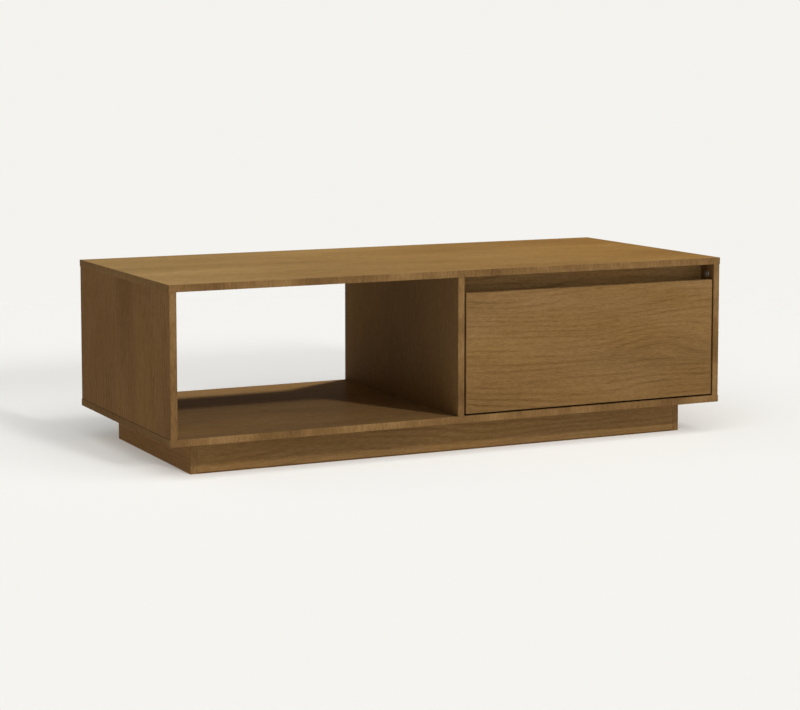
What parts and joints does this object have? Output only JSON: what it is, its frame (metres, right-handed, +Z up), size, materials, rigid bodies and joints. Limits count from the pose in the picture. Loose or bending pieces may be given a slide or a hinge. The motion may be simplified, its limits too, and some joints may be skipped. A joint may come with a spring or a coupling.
{
  "type": "coffee table",
  "caption": "Low rectangular coffee table in wood-pattern board on a recessed plinth, with an open niche beside a flush drawer that opens by a finger gap.",
  "frame": {"origin": "on the floor, under the middle of the table", "axes": "+X to the right along the front, +Y from the front to the back, +Z up"},
  "size_m": [1.3, 0.575, 0.395],
  "materials": {
    "wood_laminate": "brown wood-pattern laminate on board, satin, fine grain",
    "edge_band": "thin edge band in the boards' brown wood pattern, satin",
    "bottom_hardboard": "thin hardboard with a brown printed upper face, matt",
    "block_wood": "raw pine, matt",
    "dowel_wood": "raw beech, matt",
    "cam_zinc": "die-cast zinc, bare, satin",
    "zinc_plated_steel": "zinc-plated steel, satin",
    "slide_steel": "zinc-plated sheet steel, satin",
    "ball_steel": "polished steel balls"
  },
  "bodies": {
    "carcass": {"bottom_panel": "wood_laminate", "bottom_panel_edge_bands": "edge_band", "cabinet_member_screws": "zinc_plated_steel", "carcass_cam_bolts": "zinc_plated_steel", "carcass_cam_locks": "cam_zinc", "carcass_dowels": "dowel_wood", "centre_partition": "wood_laminate", "centre_partition_edge_bands": "edge_band", "drawer_bay_back_panel": "wood_laminate", "drawer_pull_rail": "wood_laminate", "left_side_panel": "wood_laminate", "left_side_panel_edge_bands": "edge_band", "left_slide_cabinet_member": "slide_steel", "plinth_back_board": "wood_laminate", "plinth_block_screws": "zinc_plated_steel", "plinth_corner_blocks": "block_wood", "plinth_cross_rail": "wood_laminate", "plinth_dowels": "dowel_wood", "plinth_edge_bands": "edge_band", "plinth_front_board": "wood_laminate", "plinth_left_board": "wood_laminate", "plinth_right_board": "wood_laminate", "pull_rail_edge_band": "edge_band", "right_side_panel": "wood_laminate", "right_side_panel_edge_bands": "edge_band", "right_slide_cabinet_member": "slide_steel", "top_panel": "wood_laminate", "top_panel_edge_bands": "edge_band"},
    "drawer": {"drawer_back": "wood_laminate", "drawer_back_screws": "zinc_plated_steel", "drawer_bottom": "bottom_hardboard", "drawer_box_edge_bands": "edge_band", "drawer_cam_bolts": "zinc_plated_steel", "drawer_cam_locks": "cam_zinc", "drawer_front": "wood_laminate", "drawer_front_edge_bands": "edge_band", "drawer_left_side": "wood_laminate", "drawer_member_screws": "zinc_plated_steel", "drawer_right_side": "wood_laminate", "left_slide_drawer_member": "slide_steel", "right_slide_drawer_member": "slide_steel"},
    "slide_middle_members": {"left_slide_middle_member": "slide_steel", "right_slide_middle_member": "slide_steel"},
    "outer_ball_cages": {"left_slide_outer_ball_cage": "slide_steel", "left_slide_outer_balls": "ball_steel", "right_slide_outer_ball_cage": "slide_steel", "right_slide_outer_balls": "ball_steel"},
    "inner_ball_cages": {"left_slide_inner_ball_cage": "slide_steel", "left_slide_inner_balls": "ball_steel", "right_slide_inner_ball_cage": "slide_steel", "right_slide_inner_balls": "ball_steel"}
  },
  "joints": [
    {"name": "drawer_slide", "type": "slide", "parent": "carcass", "child": "drawer", "axis": [0, -1, 0], "range_m": [0, 0.45]},
    {"name": "middle_member_slide", "type": "slide", "parent": "carcass", "child": "slide_middle_members", "axis": [0, -1, 0], "range_m": [0, 0.225]},
    {"name": "outer_cage_slide", "type": "slide", "parent": "carcass", "child": "outer_ball_cages", "axis": [0, -1, 0], "range_m": [0, 0.1125]},
    {"name": "inner_cage_slide", "type": "slide", "parent": "carcass", "child": "inner_ball_cages", "axis": [0, -1, 0], "range_m": [0, 0.3375]}
  ],
  "couplings": [
    {"joint": "middle_member_slide", "follows": "drawer_slide", "ratio": 0.5},
    {"joint": "outer_cage_slide", "follows": "drawer_slide", "ratio": 0.25},
    {"joint": "inner_cage_slide", "follows": "drawer_slide", "ratio": 0.75}
  ]
}
